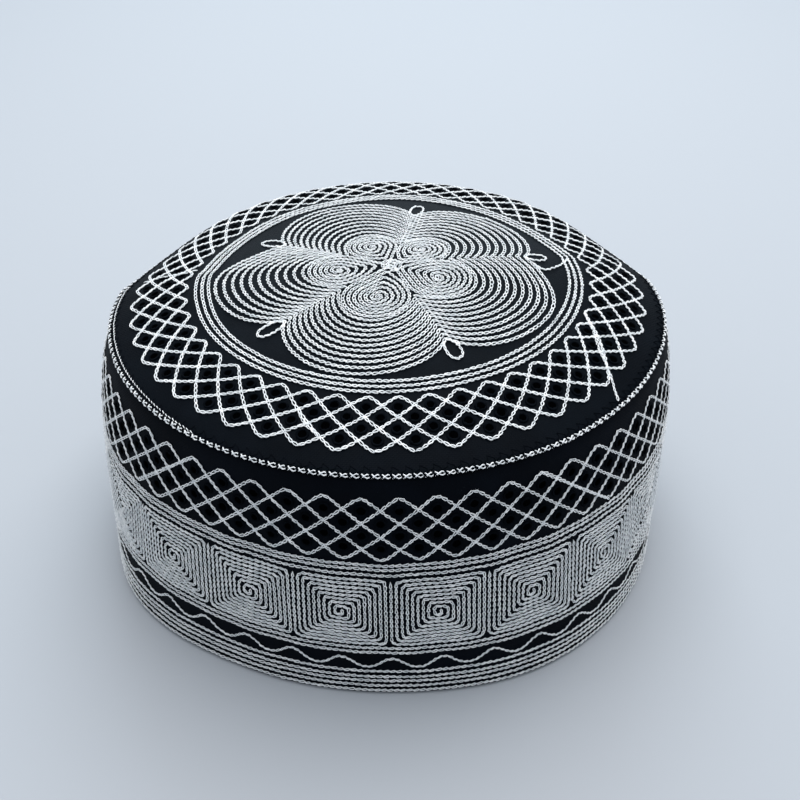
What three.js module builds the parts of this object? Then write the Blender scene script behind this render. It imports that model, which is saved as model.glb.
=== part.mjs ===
// A flat-topped cloth prayer cap: a domed round crown sewn along its rim to an upright side band.
// Millimetres, +Z up. The hem stands on Z = 0, the origin lies under the middle of the cap, and the
// front of the cap faces -Y.
import * as THREE from 'three'

// Driving dimensions
const RIM_RADIUS = 85.2 // mean radius of the rim, where crown and band are sewn together
const HEM_RADIUS = 94 // mean outer radius of the band at its lower edge
const BAND_HEIGHT = 77.5 // from the hem up to the band's top edge
const BAND_WALL = 2.2 // folded cloth of the band
const CROWN_WALL = 1.8 // cloth of the top panel
const SEAM_GAP = 0.3 // thread space between the band's top edge and the crown
const EDGE_ROUND = 0.5 // rounding of the rim and of the edges of the band
const DOME_RISE = 11.9 // height of the crown's middle over its rim
const DOME_POWER = 2.9 // 2 is a plain parabola, and more makes a flatter top with steeper sides
const RIDGE_RISE = 1.4 // extra height along the fold line that storage left in the crown
const RIDGE_WIDTH = 17 // distance from the fold line at which the ridge has nearly faded
const FOLD_TURN = THREE.MathUtils.degToRad(3.2) // the fold line runs this far off the X axis
const BULGE_HEIGHT = 0.65 // the band stands out furthest at this share of its height
const STEPS_ROUND = 72
const STEPS_ACROSS = 12

// How the cap, once folded flat, stands open again. One row for every 30 degrees from the back past
// the left side, the front and the right side, as shares of the size that each column follows:
// rim of RIM_RADIUS, lift of BAND_HEIGHT, hem of HEM_RADIUS, and bulge of RIM_RADIUS.
const PLACES = [
  { place: 'back', rim: 1.0, lift: 0.015, hem: 1.015, bulge: 0.03 },
  { place: 'back left', rim: 1.015, lift: 0.003, hem: 1.02, bulge: 0.039 },
  { place: 'left, behind the fold', rim: 1.017, lift: -0.01, hem: 1.025, bulge: 0.048 },
  { place: 'left end of the fold', rim: 1.019, lift: 0.016, hem: 1.022, bulge: 0.05 },
  { place: 'left, before the fold', rim: 1.013, lift: 0.013, hem: 1.048, bulge: 0.026 },
  { place: 'front left', rim: 1.0, lift: 0.003, hem: 0.982, bulge: 0.01 },
  { place: 'front', rim: 0.989, lift: -0.003, hem: 0.96, bulge: 0.018 },
  { place: 'front right', rim: 0.987, lift: -0.004, hem: 0.987, bulge: 0.015 },
  { place: 'right, before the fold', rim: 0.985, lift: -0.01, hem: 0.974, bulge: 0.026 },
  { place: 'right end of the fold', rim: 0.997, lift: -0.008, hem: 0.943, bulge: 0.041 },
  { place: 'right, behind the fold', rim: 0.972, lift: 0.007, hem: 0.978, bulge: 0.033 },
  { place: 'back right', rim: 0.98, lift: 0.015, hem: 1.0, bulge: 0.028 }
]

// A column of PLACES at any turn round the cap, joined smoothly from row to row.
// The turn is 0 at the front, a quarter circle at the right side and minus that at the left.
function around (column, turn) {
  const rows = PLACES.length
  const along = (turn / (2 * Math.PI) + 0.5) * rows
  const row = Math.floor(along)
  const value = step => PLACES[(row + step + 2 * rows) % rows][column]
  const f = along - row
  const slopeHere = (value(1) - value(-1)) / 2
  const slopeNext = (value(2) - value(0)) / 2
  const rise = value(1) - value(0)
  return value(0) + f * slopeHere + f * f * (3 * rise - 2 * slopeHere - slopeNext) +
    f * f * f * (slopeHere + slopeNext - 2 * rise)
}

// Swell of the band at a share of its height: none at hem and rim, 1 at BULGE_HEIGHT
function swell (share) {
  const rise = share / BULGE_HEIGHT
  const fall = (1 - share) / (1 - BULGE_HEIGHT)
  return Math.pow(rise, 2 * BULGE_HEIGHT) * Math.pow(fall, 2 * (1 - BULGE_HEIGHT))
}

// Outer radius of the band
function bandRadius (turn, share) {
  const hem = HEM_RADIUS * around('hem', turn)
  const rim = RIM_RADIUS * around('rim', turn)
  const bulge = RIM_RADIUS * around('bulge', turn) * swell(share)
  return THREE.MathUtils.lerp(hem, rim, share) + bulge
}

// Height of the crown over a flat disc: the dome, the ridge along the fold, and the rim's own lift
function crownHeight (turn, share) {
  const radius = RIM_RADIUS * share
  const fromFold = radius * Math.cos(turn - FOLD_TURN)
  const dome = DOME_RISE * (1 - Math.pow(share, DOME_POWER))
  const ridge = RIDGE_RISE * Math.exp(-Math.pow(fromFold / RIDGE_WIDTH, 2)) * (1 - share * share)
  const lift = BAND_HEIGHT * around('lift', turn) * share ** 3
  return dome + ridge + lift
}

// Turns a closed profile of [radius, height] points round Z and moves each vertex by place(turn, radius, height)
function turnedCloth (profile, place) {
  const points = profile.map(([radius, height]) => new THREE.Vector2(radius, height))
  const geometry = new THREE.LatheGeometry(points, STEPS_ROUND)
  geometry.rotateX(Math.PI / 2)
  const positions = geometry.attributes.position
  for (let i = 0; i < positions.count; i++) {
    const x = positions.getX(i)
    const y = positions.getY(i)
    const turn = Math.atan2(x, -y)
    const [radius, height] = place(turn, Math.hypot(x, y), positions.getZ(i))
    positions.setXYZ(i, radius * Math.sin(turn), -radius * Math.cos(turn), height)
  }
  geometry.computeVertexNormals()
  return geometry
}

function evenSteps (from, to, count) {
  return Array.from({ length: count + 1 }, (_, i) => THREE.MathUtils.lerp(from, to, i / count))
}

// The top panel: one sheet of cloth, drawn as a flat disc and then domed
function crown () {
  const floor = BAND_HEIGHT + SEAM_GAP
  const ceiling = floor + CROWN_WALL
  const flatEdge = RIM_RADIUS - EDGE_ROUND
  const under = evenSteps(0, flatEdge, STEPS_ACROSS).map(radius => [radius, floor])
  const over = evenSteps(flatEdge, 0, STEPS_ACROSS).map(radius => [radius, ceiling])
  const edge = [[RIM_RADIUS, floor + EDGE_ROUND], [RIM_RADIUS, ceiling - EDGE_ROUND]]
  const profile = [...under, ...edge, ...over]
  return turnedCloth(profile, (turn, radius, height) => {
    const share = radius / RIM_RADIUS
    return [radius * around('rim', turn), height + crownHeight(turn, share)]
  })
}

// The side band: a straight strip joined into a ring, drawn upright and then swelled and flared
function sideBand () {
  const inside = HEM_RADIUS - BAND_WALL
  const heights = evenSteps(EDGE_ROUND, BAND_HEIGHT - EDGE_ROUND, STEPS_ACROSS)
  const outer = heights.map(height => [HEM_RADIUS, height])
  const inner = heights.map(height => [inside, height]).reverse()
  const top = [[HEM_RADIUS - EDGE_ROUND, BAND_HEIGHT], [inside + EDGE_ROUND, BAND_HEIGHT]]
  const hem = [[inside + EDGE_ROUND, 0], [HEM_RADIUS - EDGE_ROUND, 0]]
  const profile = [...hem, ...outer, ...top, ...inner, hem[0]]
  return turnedCloth(profile, (turn, radius, height) => {
    const share = THREE.MathUtils.clamp(height / BAND_HEIGHT, 0, 1)
    const depth = HEM_RADIUS - radius
    return [bandRadius(turn, share) - depth, height * (1 + around('lift', turn))]
  })
}

function clothMaterial (colour, roughness) {
  return new THREE.MeshStandardMaterial({ color: colour, roughness, metalness: 0 })
}

function piece (name, geometry, material) {
  const mesh = new THREE.Mesh(geometry, material)
  mesh.name = name
  return mesh
}

const cap = new THREE.Group()
cap.add(piece('crown', crown(), clothMaterial(0x121a24, 0.9)))
cap.add(piece('side_band', sideBand(), clothMaterial(0x0d131c, 0.92)))

// The origin goes under the middle of the cap's own outline
const middle = new THREE.Box3().setFromObject(cap, true).getCenter(new THREE.Vector3())
cap.position.set(-middle.x, -middle.y, 0)
cap.updateMatrixWorld(true)

export default cap
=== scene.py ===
"""A round cloth prayer cap with chain-stitch embroidery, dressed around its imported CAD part.

Metres, +Z up, front towards -Y. A turn is an angle round the cap: 0 at the front, a quarter circle at
the right side. A way is the same as a share of the distance round, also 0 at the front.
"""

import math

import bpy
import numpy as np
from mathutils import Matrix, Vector


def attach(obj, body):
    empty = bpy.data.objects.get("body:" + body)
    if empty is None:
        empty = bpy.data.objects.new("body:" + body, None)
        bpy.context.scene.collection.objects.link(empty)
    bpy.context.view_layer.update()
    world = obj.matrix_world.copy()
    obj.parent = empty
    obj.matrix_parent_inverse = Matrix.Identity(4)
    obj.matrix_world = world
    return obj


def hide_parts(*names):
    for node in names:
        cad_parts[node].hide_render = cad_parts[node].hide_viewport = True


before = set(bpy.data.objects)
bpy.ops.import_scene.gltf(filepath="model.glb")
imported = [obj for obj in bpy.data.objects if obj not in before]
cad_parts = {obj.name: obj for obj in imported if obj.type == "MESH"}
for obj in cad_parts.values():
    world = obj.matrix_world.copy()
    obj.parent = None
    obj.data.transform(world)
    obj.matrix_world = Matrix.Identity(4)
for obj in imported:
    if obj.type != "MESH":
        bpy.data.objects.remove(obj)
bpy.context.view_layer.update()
rng = np.random.default_rng(7)

# Side band: a strip of doubled black cotton joined into a ring. The head has swelled it in the
# middle, and years of lying folded flat have left soft corners at its two ends.
MM = 0.001
RIM_RADIUS = 85.2 * MM
HEM_RADIUS = 94 * MM
BAND_HEIGHT = 77.5 * MM
BULGE_HEIGHT = 0.65
MIDDLE = np.array([3.02, -2.57, 0]) * MM  # the rim's centre, seen from the middle of the whole cap
# Twelve places round the cap: back, left (fourth), front (seventh) and right (tenth)
RIM_SHARE = np.array([1.0, 1.015, 1.017, 1.019, 1.013, 1.0, 0.989, 0.987, 0.985, 0.997, 0.972, 0.98])
LIFT = np.array([15, 3, -10, 16, 13, 3, -3, -4, -10, -8, 7, 15]) / 1000
HEM_SHARE = np.array([1.015, 1.02, 1.025, 1.022, 1.048, 0.982, 0.96, 0.987, 0.974, 0.943, 0.978, 1.0])
BULGE = np.array([30, 39, 48, 50, 26, 10, 18, 15, 26, 41, 33, 28]) / 1000
FOLD_ENDS = [(-1.65, -1), (1.735, 1)]  # turn of each end of the fold's crease, and the way on to the back
COLUMNS = 360


def around(values, turn):
    """A value known at the twelve places, joined smoothly from place to place."""
    rows = len(values)
    along = (np.asarray(turn) / (2 * np.pi) + 0.5) * rows
    row = np.floor(along).astype(int)
    f = along - row
    before, here, after, beyond = (values[(row + step) % rows] for step in (-1, 0, 1, 2))
    slope_here = (after - before) / 2
    slope_next = (beyond - here) / 2
    rise = after - here
    bend = 3 * rise - 2 * slope_here - slope_next
    return here + f * slope_here + f**2 * bend + f**3 * (slope_here + slope_next - 2 * rise)


def folded(turn, share):
    """What the fold adds to the rim's share: a corner at each of its ends, and a straighter run behind."""
    extra = 0 * turn
    for crease, way_back in FOLD_ENDS:
        behind = (turn - crease) * way_back
        corner = 0.012 * np.exp(-np.maximum(behind / 0.06, -behind / 0.25))
        hollow = 0.032 * np.exp(-(((behind - 0.3) / 0.3) ** 2)) * share**4
        extra = extra + corner - hollow
    return extra


def swell(share):
    """0 at hem and rim, 1 at BULGE_HEIGHT."""
    rise = np.clip(share, 0, 1) / BULGE_HEIGHT
    fall = (1 - np.clip(share, 0, 1)) / (1 - BULGE_HEIGHT)
    return rise ** (2 * BULGE_HEIGHT) * fall ** (2 * (1 - BULGE_HEIGHT))


def band_point(turn, height, proud=0.0):
    """A point proud of the band's outer face, or behind it where proud is negative."""
    turn, height, proud = np.broadcast_arrays(turn, height, proud)
    share = height / BAND_HEIGHT
    hem = HEM_RADIUS * around(HEM_SHARE, turn)
    rim = RIM_RADIUS * (around(RIM_SHARE, turn) + folded(turn, 1.0) * np.clip(share, 0, 1) ** 2)
    radius = hem + (rim - hem) * np.clip(share, 0, 1) + proud
    radius = radius + RIM_RADIUS * around(BULGE, turn) * swell(share)
    ripple = np.sin(turn * 23 + 40 * height) + np.sin(turn * 37 - 2 + 90 * height)
    radius = radius + 0.12 * MM * ripple * np.sin(np.pi * np.clip(share, 0, 1))
    high = height * (1 + around(LIFT, turn))
    return np.stack([radius * np.sin(turn), -radius * np.cos(turn), high], -1) + MIDDLE


def grid_faces(rows, columns, close_rows):
    """Four-cornered faces of a grid of points that closes on itself along its columns."""
    row = np.arange(rows if close_rows else rows - 1)[:, None]
    column = np.arange(columns)[None, :]
    above = (row + 1) % rows
    right = (column + 1) % columns
    corners = [row * columns + column, row * columns + right]
    corners += [above * columns + right, above * columns + column]
    return np.stack(corners, -1).reshape(-1, 4)


def add_piece(name, points, faces, material):
    """A smooth mesh that rides on the cap. All its faces have the same number of corners."""
    mesh = bpy.data.meshes.new(name)
    points = np.asarray(points, np.float32).reshape(-1, 3)
    faces = np.asarray(faces, np.int32)
    mesh.vertices.add(len(points))
    mesh.vertices.foreach_set("co", points.ravel())
    mesh.loops.add(faces.size)
    mesh.loops.foreach_set("vertex_index", faces.ravel())
    mesh.polygons.add(len(faces))
    mesh.polygons.foreach_set("loop_start", np.arange(len(faces), dtype=np.int32) * faces.shape[1])
    mesh.update(calc_edges=True)
    mesh.shade_smooth()
    mesh.materials.append(material)
    piece = bpy.data.objects.new(name, mesh)
    bpy.context.scene.collection.objects.link(piece)
    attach(piece, "root")
    return piece


def set_inputs(node, **values):
    for name, value in values.items():
        node.inputs[name.replace("_", " ")].default_value = value
    return node


def math_node(tree, operation, first, second=None):
    """A Math node on sockets or numbers; returns its output."""
    node = tree.nodes.new("ShaderNodeMath")
    node.operation = operation
    for socket, value in zip(node.inputs, (first, second)):
        if isinstance(value, bpy.types.NodeSocket):
            tree.links.new(value, socket)
        elif value is not None:
            socket.default_value = value
    return node.outputs[0]


def make_weave_group():
    """Plain weave: threads pass over and under each other, with a slub here and there."""
    tree = bpy.data.node_groups.new("Plain weave", "ShaderNodeTree")
    tree.interface.new_socket("Across", in_out="INPUT", socket_type="NodeSocketFloat")
    tree.interface.new_socket("Along", in_out="INPUT", socket_type="NodeSocketFloat")
    tree.interface.new_socket("Threads per Metre", in_out="INPUT", socket_type="NodeSocketFloat")
    tree.interface.new_socket("Height", in_out="OUTPUT", socket_type="NodeSocketFloat")
    tree.interface.new_socket("Wear", in_out="OUTPUT", socket_type="NodeSocketFloat")
    inside = tree.nodes.new("NodeGroupInput").outputs
    warp = math_node(tree, "MULTIPLY", inside["Across"], inside["Threads per Metre"])
    weft = math_node(tree, "MULTIPLY", inside["Along"], inside["Threads per Metre"])

    def roundness(threads):
        wave = math_node(tree, "SINE", math_node(tree, "MULTIPLY", threads, math.pi))
        return math_node(tree, "ABSOLUTE", wave)

    cells = math_node(tree, "ADD", math_node(tree, "FLOOR", warp), math_node(tree, "FLOOR", weft))
    over = math_node(tree, "PINGPONG", cells, 1.0)
    under = math_node(tree, "SUBTRACT", 1.0, over)
    warp_height = math_node(tree, "MULTIPLY", roundness(warp), over)
    weft_height = math_node(tree, "MULTIPLY", roundness(weft), under)
    height = math_node(tree, "ADD", warp_height, weft_height)
    place = tree.nodes.new("ShaderNodeTexCoord")
    slub = set_inputs(tree.nodes.new("ShaderNodeTexNoise"), Scale=900.0, Detail=2.0)
    tree.links.new(place.outputs["Object"], slub.inputs["Vector"])
    rubbed = set_inputs(tree.nodes.new("ShaderNodeTexNoise"), Scale=60.0, Detail=5.0, Roughness=0.65)
    tree.links.new(place.outputs["Object"], rubbed.inputs["Vector"])
    outside = tree.nodes.new("NodeGroupOutput")
    tree.links.new(math_node(tree, "MULTIPLY", height, slub.outputs["Fac"]), outside.inputs["Height"])
    tree.links.new(rubbed.outputs["Fac"], outside.inputs["Wear"])
    return tree


weave_group = make_weave_group()


def cloth_material(name, dark, light, nap, rough, shine, round_the_cap):
    """Navy-black cotton. The weave runs round the band, or straight across the crown."""
    material = bpy.data.materials.new(name)
    material.use_nodes = True
    tree = material.node_tree
    shader = tree.nodes["Principled BSDF"]
    set_inputs(shader, Roughness=rough, Sheen_Weight=nap, Sheen_Roughness=0.35)
    shader.inputs["Sheen Tint"].default_value = (0.6, 0.7, 0.85, 1)
    shader.inputs["Specular IOR Level"].default_value = shine
    place = tree.nodes.new("ShaderNodeTexCoord")
    split = tree.nodes.new("ShaderNodeSeparateXYZ")
    tree.links.new(place.outputs["Object"], split.inputs[0])
    weave = tree.nodes.new("ShaderNodeGroup")
    weave.node_tree = weave_group
    weave.inputs["Threads per Metre"].default_value = 1900
    if round_the_cap:
        turn = math_node(tree, "ARCTAN2", split.outputs["X"], split.outputs["Y"])
        tree.links.new(math_node(tree, "MULTIPLY", turn, RIM_RADIUS), weave.inputs["Across"])
        tree.links.new(split.outputs["Z"], weave.inputs["Along"])
    else:
        tree.links.new(split.outputs["X"], weave.inputs["Across"])
        tree.links.new(split.outputs["Y"], weave.inputs["Along"])
    tone = tree.nodes.new("ShaderNodeValToRGB")
    tone.color_ramp.elements[0].position = 0.35
    tone.color_ramp.elements[0].color = (*dark, 1)
    tone.color_ramp.elements[1].position = 0.75
    tone.color_ramp.elements[1].color = (*light, 1)
    tree.links.new(weave.outputs["Wear"], tone.inputs["Fac"])
    tree.links.new(tone.outputs["Color"], shader.inputs["Base Color"])
    bump = set_inputs(tree.nodes.new("ShaderNodeBump"), Strength=0.5, Distance=0.00012)
    tree.links.new(weave.outputs["Height"], bump.inputs["Height"])
    tree.links.new(bump.outputs["Normal"], shader.inputs["Normal"])
    return material


# The band's colours are a little darker than the crown's, though it is the same cotton: painted shade for the
# upright side, which gets less of the light from above.
band_cloth = cloth_material(
    "band cloth", (0.0006, 0.0014, 0.003), (0.0016, 0.003, 0.006), 0.01, 0.7, 0.04, True
)
# Section of the doubled cloth in mm: depth behind the outer face, and height
band_outside = [(0.0, height) for height in np.linspace(0.7, 76.7, 30)]
band_top = [(0.25, 77.2), (0.8, 77.5), (1.5, 77.5), (2.05, 77.2)]
band_inside = [(2.2, height) for height in np.linspace(76.7, 0.7, 12)]
band_hem = [(2.0, 0.15), (1.4, 0.0), (0.8, 0.0), (0.2, 0.15)]
band_profile = np.array(band_outside + band_top + band_inside + band_hem) * MM
turns = np.linspace(-np.pi, np.pi, COLUMNS, endpoint=False)
band_points = band_point(turns[None, :], band_profile[:, 1:], -band_profile[:, :1])
band = add_piece(
    "side_band_cloth", band_points, grid_faces(len(band_profile), COLUMNS, True), band_cloth
)
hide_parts("side_band")

# Crown: a round panel of the same cotton, sewn to the band by its rim. It stands up in a low dome,
# a little higher along the line where the cap was folded.
RIM_HEIGHT = 78.9 * MM
DOME_RISE = 11.9 * MM
DOME_POWER = 2.9
RIDGE_RISE = 1.0 * MM
RIDGE_WIDTH = 17 * MM
FOLD_TURN = math.radians(3.2)
TILT_ALONG = 0.024
TILT_ACROSS = 0.007
BACK_FULLNESS = 1.9 * MM  # behind the fold the cloth stands fuller and rolls over more steeply at the rim
BACK_HOLLOW = 0.9 * MM  # and sinks a little inside that, at the back right


def crown_point(disc, drop=0.0):
    """A point on the crown. disc is a place on the flat panel, whose rim has the radius 1."""
    share = np.hypot(disc[..., 0], disc[..., 1])
    turn = np.arctan2(disc[..., 0], -disc[..., 1])
    flat = disc * (RIM_RADIUS * (around(RIM_SHARE, turn) + folded(turn, share)))[..., None]
    along = flat[..., 0] * math.cos(FOLD_TURN) + flat[..., 1] * math.sin(FOLD_TURN)
    across = flat[..., 1] * math.cos(FOLD_TURN) - flat[..., 0] * math.sin(FOLD_TURN)
    ridge = RIDGE_RISE * np.exp(-((across / RIDGE_WIDTH) ** 2))
    inner = np.clip(1 - share**2, 0, 1)
    ripple = 0.1 * MM * (np.sin(along * 95 + 1) * np.sin(across * 120) + np.sin(across * 210 + along * 60))
    high = RIM_HEIGHT + DOME_RISE * (1 - share**DOME_POWER) + BAND_HEIGHT * around(LIFT, turn) * share**3
    high = high + (ridge + TILT_ALONG * along + TILT_ACROSS * across + ripple) * inner - drop
    behind = np.clip((np.abs(turn) - 1.5) / 0.8, 0, 1)
    roll = np.exp(-(((share - 0.9) / 0.1) ** 2)) * (1 - share**20)
    high = high + BACK_FULLNESS * behind**2 * (3 - 2 * behind) * roll
    high = high - BACK_HOLLOW * np.exp(-(((turn - 2.36) / 0.45) ** 2) - ((share - 0.68) / 0.17) ** 2)
    return np.stack([flat[..., 0], flat[..., 1], high], -1) + MIDDLE


crown_cloth = cloth_material(
    "crown cloth", (0.0006, 0.0016, 0.0032), (0.0016, 0.0034, 0.006), 0.0, 0.5, 0.022, False
)
# Section of the crown from its middle to the rim and back: share of the rim's radius, and depth in mm
crown_under = [(share, 1.1) for share in np.linspace(0.002, 0.99, 20)]
crown_edge = [(0.998, 0.9), (1.002, 0.6), (1.001, 0.3), (0.996, 0.05)]
crown_over = [(share, 0.0) for share in np.linspace(0.985, 0.002, 44)]
crown_profile = np.array(crown_under + crown_edge + crown_over)
disc_circle = np.stack([np.sin(turns), -np.cos(turns)], -1)
crown_points = crown_point(
    crown_profile[:, None, :1] * disc_circle[None], crown_profile[:, 1:] * MM
)
crown = add_piece(
    "crown_cloth", crown_points, grid_faces(len(crown_profile), COLUMNS, True), crown_cloth
)
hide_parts("crown")

# Embroidery on the crown, first its border: three rings of white chain stitch. Each stitch is a loop of
# soft cotton that comes up inside the loop before it and holds that one's tip down.
STITCH = 1.88 * MM
STRAND = 0.168 * MM
HALF_WIDTH = 0.39 * MM
# One loop from its narrow start round its tip: along as a share of the stitch, across as a share of the
# half width, and height in mm
FINE_LOOP = [(-0.14, 0, 0.15), (0.2, 0.5, 0.5), (0.6, 1.0, 0.34), (0.9, 0.72, 0.24)]
FINE_LOOP += [(1.05, 0, 0.2), (0.9, -0.72, 0.24), (0.6, -1.0, 0.34), (0.2, -0.5, 0.5)]
PLAIN_LOOP = [(-0.14, 0, 0.2), (0.3, 0.66, 0.46), (0.8, 0.98, 0.26), (1.05, 0, 0.2)]
PLAIN_LOOP += [(0.8, -0.98, 0.26), (0.3, -0.66, 0.46)]
RING_SHARES = (0.698, 0.675, 0.652)
# The rings drift from a true circle, with a jog at each end of the fold: turn in degrees, drift of share
RING_DRIFT = [(-180, 0), (-150, -0.006), (-112, -0.013), (-97, -0.011), (-92, -0.003), (-75, -0.007)]
RING_DRIFT += [(-45, -0.002), (-5, 0.006), (25, 0.005), (55, 0.005), (88, -0.005), (97, -0.005), (101, 0.003)]
RING_DRIFT += [(115, -0.003), (150, 0), (180, 0)]


def unit(vectors):
    return vectors / np.linalg.norm(vectors, axis=-1, keepdims=True)


def on_crown(path):
    """Points and normals of the crown's cloth along a path on its flat panel."""
    step = 0.004
    points = crown_point(path)
    right = crown_point(path + [step, 0]) - crown_point(path - [step, 0])
    back = crown_point(path + [0, step]) - crown_point(path - [0, step])
    return points, unit(np.cross(right, back))


def polar(share, degrees):
    """A place on the flat panel from its distance to the middle and its turn."""
    turn = np.radians(degrees)
    return np.stack([share * np.sin(turn), -share * np.cos(turn)], -1)


def even_chain(path, surface, stitch=STITCH):
    """Divides a path on the cloth into even stitches: their starts, ends and normals."""
    points, _ = surface(path)
    run = np.r_[0, np.cumsum(np.linalg.norm(np.diff(points, axis=0), axis=1))]
    marks = np.linspace(0, run[-1], max(1, round(run[-1] / stitch)) + 1)
    marks[1:-1] += rng.normal(0, 0.05 * stitch, len(marks) - 2)
    places = np.column_stack([np.interp(marks, run, column) for column in path.T])
    points, normals = surface(places)
    return np.stack([points[:-1], points[1:], normals[:-1]], 1)


def sweep(paths, up, radius, sides, closed):
    """Round strands along many paths at once. paths and up have the shape strands, points, 3."""
    if closed:
        ahead = unit(np.roll(paths, -1, 1) - np.roll(paths, 1, 1))
    else:
        ahead = unit(np.gradient(paths, axis=1))
    side = unit(np.cross(ahead, up))
    lift = np.cross(side, ahead)
    angle = 2 * np.pi * (np.arange(sides) + 0.5) / sides
    ring = side[:, :, None] * np.cos(angle)[:, None] + lift[:, :, None] * np.sin(angle)[:, None]
    points = paths[:, :, None] + ring * np.asarray(radius)[..., None, None]
    strands, steps = paths.shape[:2]
    one = grid_faces(steps, sides, closed)[:, ::-1]
    faces = (one[None] + (np.arange(strands) * steps * sides)[:, None, None]).reshape(-1, 4)
    return points.reshape(-1, 3), faces


def add_chains(name, chains, material, loop=FINE_LOOP, width=HALF_WIDTH, strand=STRAND, closed=True):
    """Lays a loop of white thread on every stitch of the chains, each a little different."""
    start, end, normal = np.concatenate(chains).transpose(1, 0, 2)
    count = len(start)
    across = unit(np.cross(end - start, normal))
    start = start + across * rng.normal(0, 0.06 * MM, (count, 1))
    wide = width * rng.normal(1, 0.1, (count, 1, 1))
    high = MM * rng.normal(1, 0.12, (count, 1, 1))
    along, side, raised = np.array(loop).T[:, None, :, None]
    paths = start[:, None] + (end - start)[:, None] * along
    paths = paths + across[:, None] * side * wide + normal[:, None] * raised * high
    up = np.broadcast_to(normal[:, None], paths.shape)
    thick = strand * rng.normal(1, 0.07, (count, 1))
    points, faces = sweep(paths, up, thick, 4, closed)
    return add_piece(name, points, faces, material)


def make_thread_group():
    """Soft spun cotton: fine fibres, and a slow change in how clean the thread is."""
    tree = bpy.data.node_groups.new("Spun thread", "ShaderNodeTree")
    tree.interface.new_socket("Fibre Scale", in_out="INPUT", socket_type="NodeSocketFloat")
    tree.interface.new_socket("Fibres", in_out="OUTPUT", socket_type="NodeSocketFloat")
    tree.interface.new_socket("Soiling", in_out="OUTPUT", socket_type="NodeSocketFloat")
    inside = tree.nodes.new("NodeGroupInput").outputs
    place = tree.nodes.new("ShaderNodeTexCoord")
    fibres = set_inputs(tree.nodes.new("ShaderNodeTexNoise"), Detail=3.0, Roughness=0.7, Distortion=0.6)
    tree.links.new(place.outputs["Object"], fibres.inputs["Vector"])
    tree.links.new(inside["Fibre Scale"], fibres.inputs["Scale"])
    soiling = set_inputs(tree.nodes.new("ShaderNodeTexNoise"), Scale=480.0, Detail=4.0, Roughness=0.6)
    tree.links.new(place.outputs["Object"], soiling.inputs["Vector"])
    outside = tree.nodes.new("NodeGroupOutput")
    tree.links.new(fibres.outputs["Fac"], outside.inputs["Fibres"])
    tree.links.new(soiling.outputs["Fac"], outside.inputs["Soiling"])
    return tree


thread_group = make_thread_group()


def thread_material(name, soiled, clean, sheen, shine):
    material = bpy.data.materials.new(name)
    material.use_nodes = True
    tree = material.node_tree
    shader = tree.nodes["Principled BSDF"]
    set_inputs(shader, Roughness=0.8, Sheen_Weight=sheen, Sheen_Roughness=0.6)
    shader.inputs["Specular IOR Level"].default_value = shine
    spun = tree.nodes.new("ShaderNodeGroup")
    spun.node_tree = thread_group
    spun.inputs["Fibre Scale"].default_value = 4200
    tone = tree.nodes.new("ShaderNodeValToRGB")
    tone.color_ramp.elements[0].position = 0.3
    tone.color_ramp.elements[0].color = (*soiled, 1)
    tone.color_ramp.elements[1].position = 0.62
    tone.color_ramp.elements[1].color = (*clean, 1)
    tree.links.new(spun.outputs["Soiling"], tone.inputs["Fac"])
    tree.links.new(tone.outputs["Color"], shader.inputs["Base Color"])
    bump = set_inputs(tree.nodes.new("ShaderNodeBump"), Strength=0.6, Distance=0.0001)
    tree.links.new(spun.outputs["Fibres"], bump.inputs["Height"])
    tree.links.new(bump.outputs["Normal"], shader.inputs["Normal"])
    return material


white_thread = thread_material("white cotton thread", (0.56, 0.6, 0.62), (0.9, 0.91, 0.91), 0.15, 0.25)
full_turn = np.linspace(-180, 180, 721)
drift = np.interp(full_turn, *np.array(RING_DRIFT).T)
ring_chains = [even_chain(polar(share + drift, full_turn), on_crown) for share in RING_SHARES]
add_chains("crown_ring_stitches", ring_chains, white_thread)

# Flower: five petals of nested arches that meet in cusps, and in each petal a teardrop worked in a
# close spiral from its rim to its heart. Every line is a separate run of the same chain stitch.
CLOSE_PITCH = 0.0196  # distance of the teardrops' rounds, as a share of the rim's radius
# Turn of each cusp, its distance to the middle, far end of its picot, and fullness of the arches before
# and after it
CUSPS = [
    (-118.8, 0.45, 0.56, 0.02, -0.1),
    (-48.7, 0.475, 0.589, 0.03, 0.0),
    (21.9, 0.492, 0.601, 0.0, 0.03),
    (98.0, 0.5, 0.584, -0.13, -0.02),
    (167.8, 0.445, 0.566, 0.03, 0.03),
]
# Turn of each petal's middle, reach of its outer arch, heart of its teardrop, number of arches
PETALS = [
    (-84.2, 0.623, 0.189, 11),
    (-13.4, 0.631, 0.215, 11),
    (60.0, 0.626, 0.2, 11),
    (132.9, 0.6, 0.168, 11),
    (204.0, 0.602, 0.162, 11),
]


def petal_arch(axis, cusps, reach):
    """One arch from cusp to cusp: about a quarter of an ellipse on each side of the petal's middle."""
    sides = []
    for (away, cusp, fullness), sign in zip(cusps, (1, -1)):
        base = cusp * math.cos(away)
        u = np.linspace(np.pi / 2, 0, 40) if sign > 0 else np.linspace(0, np.pi / 2, 40)[1:]
        along = base + (reach - base) * np.clip(np.cos(u), 0, 1) ** (1.08 - 1.6 * fullness)
        across = sign * cusp * math.sin(away) * np.sin(u) * (1 + fullness * np.sin(2 * u))
        sides.append(np.stack([along, across], -1))
    along, across = np.concatenate(sides).T
    return along[:, None] * polar(1.0, axis) + across[:, None] * polar(1.0, axis + 90)


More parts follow.
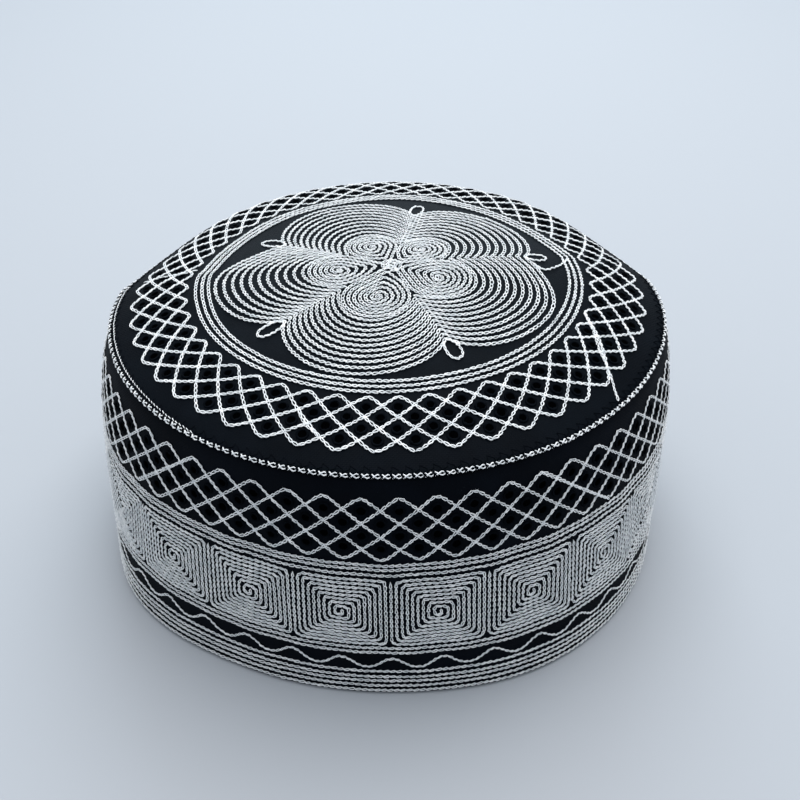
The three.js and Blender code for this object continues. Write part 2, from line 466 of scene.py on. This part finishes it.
def teardrop_spiral(axis, heart, spread):
    """Rounds of a teardrop, stepping inwards at its point by the flower's middle, down to its heart."""
    size = heart * math.sin(spread) - 0.36 * CLOSE_PITCH
    rounds = size / CLOSE_PITCH + 0.3
    turned = np.linspace(0, rounds, int(200 * rounds))
    step_in = np.floor(turned) + np.clip((turned % 1 - 0.92) / 0.08, 0, 1)
    angle = np.pi + 2 * np.pi * turned
    past_side = np.clip(np.abs((angle + np.pi) % (2 * np.pi) - np.pi) - (np.pi / 2 + spread), 0, None)
    reach = np.maximum(size - step_in * CLOSE_PITCH, 0.12 * CLOSE_PITCH) / np.cos(past_side)
    along = heart + reach * np.cos(angle)
    across = reach * np.sin(angle)
    return along[:, None] * polar(1.0, axis) + across[:, None] * polar(1.0, axis + 90)


flower_chains = []
for petal, (axis, reach, heart, arches) in enumerate(PETALS):
    low_turn, low_cusp, _, _, low_fullness = CUSPS[petal]
    high_turn, high_cusp, _, high_fullness, _ = CUSPS[(petal + 1) % 5]
    low_away = math.radians(axis - low_turn)
    high_away = math.radians((high_turn - axis) % 360)
    spread = min(low_away, high_away)
    inner_reach = heart + heart * math.sin(spread) + 0.016
    for arch in range(arches):
        inwards = arch / (arches - 1)
        cusps = [(high_away, high_cusp + (1.1 * heart - high_cusp) * inwards, high_fullness * (1 - inwards))]
        cusps.append((low_away, low_cusp + (1.1 * heart - low_cusp) * inwards, low_fullness * (1 - inwards)))
        tip = reach + (inner_reach - reach) * inwards
        flower_chains.append(even_chain(petal_arch(axis, cusps, tip), on_crown))
    flower_chains.append(even_chain(teardrop_spiral(axis, heart, spread), on_crown, 1.7 * MM))
# A small round of the same stitch closes the middle, where the five points meet
middle_rounds = polar(np.linspace(0.043, 0.006, 240), np.linspace(0, 780, 240))
flower_chains.append(even_chain(middle_rounds, on_crown, 1.6 * MM))
add_chains("flower_stitches", flower_chains, white_thread, FINE_LOOP, 0.45 * MM)

# Picots: a small open loop of chain stitch outside each cusp of the flower. A loose chain wanders from
# the right one to the border.
PICOT_WIDTH = 0.03
WANDERING_CHAIN = [(0.523, 92.5), (0.54, 89), (0.565, 88.5), (0.596, 90.5), (0.63, 94), (0.668, 98.6)]

picot_chains = []
picot_round = np.linspace(-np.pi, np.pi, 60)
for cusp_turn, cusp, far_end, _, _ in CUSPS:
    along = cusp + (far_end - cusp) * (0.5 + 0.5 * np.cos(picot_round))
    across = PICOT_WIDTH * np.sin(picot_round) * (0.85 + 0.15 * np.cos(picot_round))
    path = along[:, None] * polar(1.0, cusp_turn) + across[:, None] * polar(1.0, cusp_turn + 90)
    picot_chains.append(even_chain(path, on_crown))
wander = np.array([polar(share, degrees) for share, degrees in WANDERING_CHAIN])
picot_chains.append(even_chain(wander, on_crown))
add_chains("picot_stitches", picot_chains, white_thread, FINE_LOOP, 0.3 * MM)

# Lattice of the crown: one chain that zigzags five times round between border and rim. Its crossings
# leave four rows of diamonds.
CROWN_CELLS = 48
CROWN_TIPS = (0.928, 0.7235)
CROWN_PHASE = 0.604
CROWN_LEAN = 2.65  # cells that the chain passes on its way inwards, out of 5 for there and back
TIP_ROUNDING = 7  # samples
LATTICE_HALF_WIDTH = 0.35 * MM
LATTICE_STRAND = 0.175 * MM


def plan_ways(shares):
    """Turn and way round for a plan outline given as radius shares, past the back on both sides."""
    turn = np.linspace(-1.5 * np.pi, 1.5 * np.pi, 2161)
    radius = around(shares, turn)
    steps = np.hypot(np.diff(radius * np.sin(turn)), np.diff(radius * np.cos(turn)))
    way = np.r_[0, np.cumsum(steps)]
    back_left, front, back_right = np.interp([-np.pi, 0, np.pi], turn, way)
    return turn, (way - front) / (back_right - back_left), radius


rim_turn, rim_way, rim_plan = plan_ways(RIM_SHARE)
hem_turn, hem_way, hem_plan = plan_ways(HEM_SHARE)


def turn_of_way(way):
    return np.interp((way + 0.5) % 1 - 0.5, rim_way, rim_turn)


def zigzag(cells, phase, lean):
    """Way and depth of one chain that crosses the whole lattice: 0 at its first tips, 1 at the others."""
    samples = 24
    cell = np.arange(5 * cells * samples) / samples
    place = cell % 5
    depth = np.where(place < lean, place / lean, (5 - place) / (5 - lean))
    kernel = np.ones(TIP_ROUNDING) / TIP_ROUNDING
    wrapped = np.r_[depth[-TIP_ROUNDING:], depth, depth[:TIP_ROUNDING]]
    depth = np.convolve(wrapped, kernel, "same")[TIP_ROUNDING:-TIP_ROUNDING]
    depth = (depth - depth.min()) / (depth.max() - depth.min())
    return (cell + phase) / cells, depth


way, depth = zigzag(CROWN_CELLS, CROWN_PHASE, CROWN_LEAN)
share = CROWN_TIPS[0] + (CROWN_TIPS[1] - CROWN_TIPS[0]) * depth
crown_lattice = even_chain(polar(share, np.degrees(turn_of_way(way))), on_crown)
add_chains(
    "crown_lattice_stitches", [crown_lattice], white_thread, FINE_LOOP, LATTICE_HALF_WIDTH, LATTICE_STRAND
)

# Lattice of the band: the same zigzag under the rim, in smaller steps and thinner thread. It sags at the
# front left and rises at the front right, as the band leans there.
BAND_CELLS = 56
BAND_TIPS = (0.9167, 0.6655)
BAND_PHASE = 0.175


def on_band(path):
    """Points and normals of the band's cloth. path is way and share of the rim's height."""

    def place(ways, shares):
        wrapped = (ways + 0.5) % 1 - 0.5
        left_sag = 0.019 * np.exp(-(((wrapped + 0.17) / 0.08) ** 2))
        right_sag = 0.022 * np.exp(-(((wrapped - 0.17) / 0.05) ** 2))
        sag = np.sin(np.pi * np.clip(shares / 0.57, 0, 1)) * (left_sag - right_sag)
        height = (shares + sag) * RIM_HEIGHT
        up = np.clip(height / BAND_HEIGHT, 0, 1)
        turn = np.interp(wrapped, rim_way, rim_turn)
        rim = np.stack([np.sin(turn), np.cos(turn)]) * RIM_RADIUS * np.interp(wrapped, rim_way, rim_plan)
        turn = np.interp(wrapped, hem_way, hem_turn)
        hem = np.stack([np.sin(turn), np.cos(turn)]) * HEM_RADIUS * np.interp(wrapped, hem_way, hem_plan)
        x, y = rim * up + hem * (1 - up)
        return band_point(np.arctan2(x, y), height)

    ways, shares = path[..., 0], path[..., 1]
    round_it = place(ways + 0.0008, shares) - place(ways - 0.0008, shares)
    upwards = place(ways, shares + 0.004) - place(ways, shares - 0.004)
    return place(ways, shares), unit(np.cross(round_it, upwards))


way, depth = zigzag(BAND_CELLS, BAND_PHASE, 2.5)
share = BAND_TIPS[0] + (BAND_TIPS[1] - BAND_TIPS[0]) * depth
band_lattice = even_chain(np.stack([way, share], -1), on_band)
add_chains("band_lattice_stitches", [band_lattice], white_thread, PLAIN_LOOP, 0.33 * MM, 0.16 * MM)

# Eyelets: a round hole in every diamond of both lattices, punched through the cloth and overcast with
# black thread so that it can't fray. The cloth mesh stays whole: each hole is a near-black disc laid on
# it inside the ring, painted shade for the dark inside of the cap seen through the hole.
EYELET_RADIUS = 1.45 * MM
EYELET_THREAD = 0.42 * MM
EYELET_STITCHES = 16
HOLE_SHARE = 0.8  # of the eyelet's radius

black_thread = thread_material(
    "black sewing thread", (0.0005, 0.0011, 0.002), (0.0017, 0.0028, 0.0046), 0.0, 0.02
)
# Painted shade: near-black for the dark inside of the cap that shows through each hole
hole_shade = thread_material("painted shade of the holes", (0.0003, 0.0003, 0.0004), (0.0005, 0.0006, 0.0008), 0.0, 0.0)


def eyelet_places(cells, phase, lean, tips):
    """Way and share of the middle of every diamond, in four rows."""
    row = np.arange(1, 5)[:, None]
    way = (phase + np.arange(cells)[None] + lean * row / 5 + 0.5) / cells
    share = tips[0] + (tips[1] - tips[0]) * row / 5 + 0 * way
    return way.ravel(), share.ravel()


crown_eyelet_way, crown_eyelet_share = eyelet_places(CROWN_CELLS, CROWN_PHASE, CROWN_LEAN, CROWN_TIPS)
crown_eyelet_turn = np.degrees(turn_of_way(crown_eyelet_way))
crown_middles, crown_normals = on_crown(polar(crown_eyelet_share, crown_eyelet_turn))
band_middles, band_normals = on_band(np.stack(eyelet_places(BAND_CELLS, BAND_PHASE, 2.5, BAND_TIPS), -1))
eyelet_middle = np.concatenate([crown_middles, band_middles])[:, None]
eyelet_normal = np.concatenate([crown_normals, band_normals])[:, None]
eyelet_side = unit(np.cross(eyelet_normal, [0.2, 0.1, 1.0]))
eyelet_up = np.cross(eyelet_normal, eyelet_side)
angle = (2 * np.pi * np.arange(EYELET_STITCHES) / EYELET_STITCHES)[None, :, None]
spoke = eyelet_side * np.cos(angle) + eyelet_up * np.sin(angle)
wobble = rng.normal(1, 0.06, (len(eyelet_middle), 1, 1))
ring_path = eyelet_middle + spoke * EYELET_RADIUS * wobble + eyelet_normal * 0.08 * MM
thick = EYELET_THREAD * rng.normal(1, 0.22, ring_path.shape[:2])
ring_points, ring_faces = sweep(ring_path, np.broadcast_to(eyelet_normal, ring_path.shape), thick, 4, True)
add_piece("eyelet_overcasting", ring_points, ring_faces, black_thread)
# Painted shade: a flat near-black disc just over the cloth inside each ring, standing in for the hole's shade
hole_points = eyelet_middle + spoke * EYELET_RADIUS * HOLE_SHARE + eyelet_normal * 0.1 * MM
hole_faces = np.arange(hole_points.size // 3).reshape(-1, EYELET_STITCHES)
add_piece("eyelet_hole_shade", hole_points, hole_faces, hole_shade)

# Squares: a row of chain-stitch spirals, each worked from its edge to its middle. The lower rounds lie
# closer than the upper ones, which the fill draws down.
SQUARES = 21
SQUARE_PHASE = -0.061
SQUARE_TOP = 0.574 * RIM_HEIGHT
SQUARE_BOTTOM = 0.268 * RIM_HEIGHT
SQUARE_WIDTH = 27.4 * MM
SQUARE_ROUNDS = 9
COLUMN_PITCH = SQUARE_WIDTH / (2 * SQUARE_ROUNDS + 0.7)
UPPER_PITCH = 1.46 * MM
LOWER_PITCH = 1.34 * MM


def square_spiral(left):
    """One square from its upper left corner, down and round to its middle, as ways and shares."""
    corners = [(COLUMN_PITCH / 2, SQUARE_TOP)]
    for inset in range(SQUARE_ROUNDS):
        near = (inset + 0.5) * COLUMN_PITCH
        far = SQUARE_WIDTH - near
        low = SQUARE_BOTTOM + inset * LOWER_PITCH
        high = SQUARE_TOP - inset * UPPER_PITCH
        corners += [(near, low), (far, low), (far, high), (near + COLUMN_PITCH, high)]
    corners = np.array(corners)
    run = np.r_[0, np.cumsum(np.linalg.norm(np.diff(corners, axis=0), axis=1))]
    marks = np.arange(0, run[-1], 0.25 * MM)
    soft = np.ones(5) / 5
    sideways, height = (np.convolve(np.interp(marks, run, column), soft, "valid") for column in corners.T)
    return np.stack([(left + sideways / SQUARE_WIDTH) / SQUARES, height / RIM_HEIGHT], -1)


square_chains = [even_chain(square_spiral(k + SQUARE_PHASE), on_band) for k in range(SQUARES)]
square_set = square_chains[:5] + square_chains[16:]
add_chains("square_stitches_front", square_set, white_thread, PLAIN_LOOP, 0.34 * MM, 0.165 * MM)
add_chains("square_stitches_back", square_chains[5:16], white_thread, PLAIN_LOOP, 0.34 * MM, 0.165 * MM)

# Lines of the band: single runs of chain stitch over and under the squares, and five more along the
# hem, the last one right at its edge. They hold the doubled cloth together.
UPPER_LINES = (0.6434, 0.6249, 0.600)
LOWER_LINES = (0.2455, 0.2223)
HEM_LINES = (0.1225, 0.0935, 0.0715, 0.046, 0.0195)
LINE_HALF_WIDTH = 0.37 * MM
LINE_STRAND = 0.15 * MM

round_ways = np.linspace(-0.5, 0.5, 1441)


def add_lines(name, shares):
    """Level runs of chain stitch round the band, each at a share of the rim's height."""
    paths = [np.stack([round_ways, np.full_like(round_ways, share)], -1) for share in shares]
    chains = [even_chain(path, on_band) for path in paths]
    add_chains(name, chains, white_thread, PLAIN_LOOP, LINE_HALF_WIDTH, LINE_STRAND)


add_lines("upper_line_stitches", UPPER_LINES)
add_lines("lower_line_stitches", LOWER_LINES)
add_lines("hem_line_stitches", HEM_LINES)

# Wave: one finer chain that waves between the lower lines and the hem's, nearly two crests to a square.
# It stays clear of the lines above and below it.
WAVES = 40
WAVE_CREST = 0.1918
WAVE_TROUGH = 0.1471
WAVE_PHASE = 0.06

swing = 0.5 + 0.5 * np.cos(2 * np.pi * (WAVES * round_ways + WAVE_PHASE))
wave_share = WAVE_TROUGH + (WAVE_CREST - WAVE_TROUGH) * swing**1.3
wave_chain = even_chain(np.stack([round_ways, wave_share], -1), on_band, 1.75 * MM)
add_chains("wave_stitches", [wave_chain], white_thread, PLAIN_LOOP, 0.27 * MM, 0.145 * MM)

# Rim seam: crown and band are joined by coarse white stitches, each crossed over itself like a fish,
# with slanting black thread between. A faint black zigzag holds the crown's turned edge down.
SEAM_STITCH = 2.7 * MM
# One stitch in the same terms as the loops above, but open where it starts and ends
FISH_STITCH = [(0.07, -0.85, 0.05), (0.22, -0.4, 0.42), (0.42, 0.35, 0.5), (0.63, 0.88, 0.42)]
FISH_STITCH += [(0.83, 0.55, 0.3), (0.9, 0, 0.15), (0.83, -0.55, 0.3), (0.63, -0.88, 0.42)]
FISH_STITCH += [(0.42, -0.35, 0.72), (0.22, 0.4, 0.5), (0.07, 0.85, 0.05)]
OVERSEWING_THREAD = 0.26 * MM
ZIGZAG_THREAD = 0.12 * MM
ZIGZAG_STEP = 1.8 * MM


def on_rim(path):
    """The corner where crown and band meet. Its normal points out and up, and at the back just out."""
    turn = turn_of_way(path[..., 0])
    edge = crown_point(polar(1.0, np.degrees(turn)))
    outward = np.stack([np.sin(turn), -np.cos(turn), 0 * turn], -1)
    upward = np.array([0, 0, 1.0])
    behind = np.clip((np.abs(turn) - 1.66) / 0.12, 0, 1)[..., None]
    tucked = edge + outward * 0.1 * MM - upward * (0.25 + 0.75 * behind) * MM
    return tucked, unit(outward * 0.8 + upward * (0.6 - 0.6 * behind))


seam_path = np.stack([round_ways, 0 * round_ways], -1)
seam_chain = even_chain(seam_path, on_rim, SEAM_STITCH)
add_chains("rim_seam_chain", [seam_chain], white_thread, FISH_STITCH, 0.56 * MM, 0.2 * MM, False)
start, end, normal = seam_chain.transpose(1, 0, 2)
across = unit(np.cross(end - start, normal))
lean = np.array([-0.24, -0.16, 0, 0.16, 0.24])[None, :, None]
width = np.array([-0.62, -0.4, 0, 0.4, 0.62])[None, :, None] * MM
rise = np.array([-0.2, 0.3, 0.5, 0.3, -0.2])[None, :, None] * MM
oversewing = start[:, None] + (end - start)[:, None] * lean + across[:, None] * width + normal[:, None] * rise
oversewing_up = np.broadcast_to(normal[:, None], oversewing.shape)
points, faces = sweep(oversewing, oversewing_up, OVERSEWING_THREAD, 5, False)
add_piece("rim_seam_oversewing", points, faces, black_thread)
steps = int(2 * np.pi * RIM_RADIUS / ZIGZAG_STEP / 2) * 2
zigzag_way = np.repeat(np.arange(steps + 1) / steps, 3)[2:-1]
one_zigzag = np.array([0.972, 0.985, 0.995, 0.995, 0.985, 0.972])
zigzag_share = one_zigzag[np.arange(len(zigzag_way)) % 6]
zigzag_points, zigzag_normals = on_crown(polar(zigzag_share, np.degrees(turn_of_way(zigzag_way))))
zigzag_points = zigzag_points + zigzag_normals * 0.03 * MM
points, faces = sweep(zigzag_points[None], zigzag_normals[None], ZIGZAG_THREAD, 4, False)
add_piece("rim_zigzag", points, faces, black_thread)

# Mends and loose ends: hand-worked extras in the same white thread, where a line was sewn twice, where
# the embroiderer travelled along the fold, and where a thread hangs loose.
# On the crown as share and turn in degrees, on the band as way and share of the rim's height
CROWN_EXTRAS = [
    [(0.725, 69.3), (0.78, 63.4), (0.831, 58.0), (0.89, 54.4), (0.945, 50.8), (0.965, 49.6), (0.986, 48.6)],
    [(0.925, -96.2), (0.883, -96.4), (0.825, -96.8), (0.767, -97.0), (0.722, -98.0)],
    [(0.8, -20.9), (0.822, -20.2), (0.841, -18.9), (0.86, -17.7), (0.867, -16.3), (0.888, -14.6)],
]
BAND_EXTRAS = [
    [(0.0741, 0.9164), (0.0945, 0.8057), (0.1194, 0.656)],
    [(-0.1052, 0.9091), (-0.1238, 0.8116), (-0.1472, 0.6768)],
]
EDGE_LINE = 0.986  # at the left a second line of short slanting stitches, just inside the seam
SHORT_STITCH = [(0.05, -0.5, 0.05), (0.25, -0.1, 0.28), (0.5, 0.2, 0.28), (0.72, 0.5, 0.05)]

extra_chains = []
for place in CROWN_EXTRAS:
    shares, turns_along = np.array(place).T
    fine = np.linspace(0, len(place) - 1, 60)
    steps = np.arange(len(place))
    path = polar(np.interp(fine, steps, shares), np.interp(fine, steps, turns_along))
    extra_chains.append(even_chain(path, on_crown, 1.6 * MM))
for place in BAND_EXTRAS:
    extra_chains.append(even_chain(np.array(place), on_band, 1.7 * MM))
add_chains("mending_stitches", extra_chains, white_thread, FINE_LOOP, 0.26 * MM, 0.14 * MM)
edge_turns = np.linspace(-96, -38, 200)
edge_shares = EDGE_LINE + 0.008 * np.clip((edge_turns + 52) / 14, 0, 1)
edge_chain = even_chain(polar(edge_shares, edge_turns), on_crown, 1.5 * MM)
add_chains("edge_line_stitches", [edge_chain], white_thread, SHORT_STITCH, 0.3 * MM, 0.14 * MM, False)

# Tabletop: a smooth surface in matt pale paint, level under the hem. It only shows the cap off and isn't
# part of it.
floor_mesh = bpy.data.meshes.new("tabletop")
floor_mesh.from_pydata([(-3, -3, 0), (3, -3, 0), (3, 3, 0), (-3, 3, 0)], [], [(0, 1, 2, 3)])
floor = bpy.data.objects.new("tabletop", floor_mesh)
bpy.context.scene.collection.objects.link(floor)
floor_paint = bpy.data.materials.new("pale tabletop")
floor_paint.use_nodes = True
floor_shader = floor_paint.node_tree.nodes["Principled BSDF"]
floor_shader.inputs["Base Color"].default_value = (0.37, 0.392, 0.42, 1)
floor_shader.inputs["Roughness"].default_value = 0.7
floor_shader.inputs["Specular IOR Level"].default_value = 0.15
floor_mesh.materials.append(floor_paint)

# Light: a wide soft lamp above the cap, a paler and lower one like a window behind it, and pale room
# light from all round.


def add_lamp(name, place, target, size, power, colour):
    lamp = bpy.data.lights.new(name, "AREA")
    lamp.size = size
    lamp.energy = power
    lamp.color = colour
    holder = bpy.data.objects.new(name, lamp)
    holder.location = place
    holder.rotation_euler = (Vector(target) - Vector(place)).to_track_quat("-Z", "Y").to_euler()
    bpy.context.scene.collection.objects.link(holder)


add_lamp("lamp above", (0.12, 0.36, 1.35), (0, 0, 0.05), 1.3, 22.4, (1.0, 0.99, 0.98))
add_lamp("window behind", (0.0, 2.4, 1.25), (0, 0, 0.05), 1.8, 28, (0.7, 0.88, 1.0))
room = bpy.data.worlds.new("room")
room.use_nodes = True
room.node_tree.nodes["Background"].inputs["Color"].default_value = (0.86, 0.92, 1.0, 1)
room.node_tree.nodes["Background"].inputs["Strength"].default_value = 0.82
bpy.context.scene.world = room
bpy.context.scene.view_settings.view_transform = "Standard"

# Camera: it stands where the photograph was taken from, a little above the cap and close to it. Its pitch
# and roll are in radians.
PITCH = 0.6369
ROLL = -0.0153
camera_data = bpy.data.cameras.new("camera")
camera_data.sensor_width = 36
camera_data.lens = 45
camera_data.clip_start = 0.01
camera = bpy.data.objects.new("camera", camera_data)
forward = Vector((0, math.cos(PITCH), -math.sin(PITCH)))
level = Vector((1, 0, 0))
upright = Vector((0, math.sin(PITCH), math.cos(PITCH)))
right = level * math.cos(ROLL) + upright * math.sin(ROLL)
top = upright * math.cos(ROLL) - level * math.sin(ROLL)
turned = Matrix((right, top, -forward)).transposed().to_4x4()
camera.matrix_world = Matrix.Translation((0.00536, -0.2771, 0.2429)) @ turned
bpy.context.scene.collection.objects.link(camera)
bpy.context.scene.camera = camera
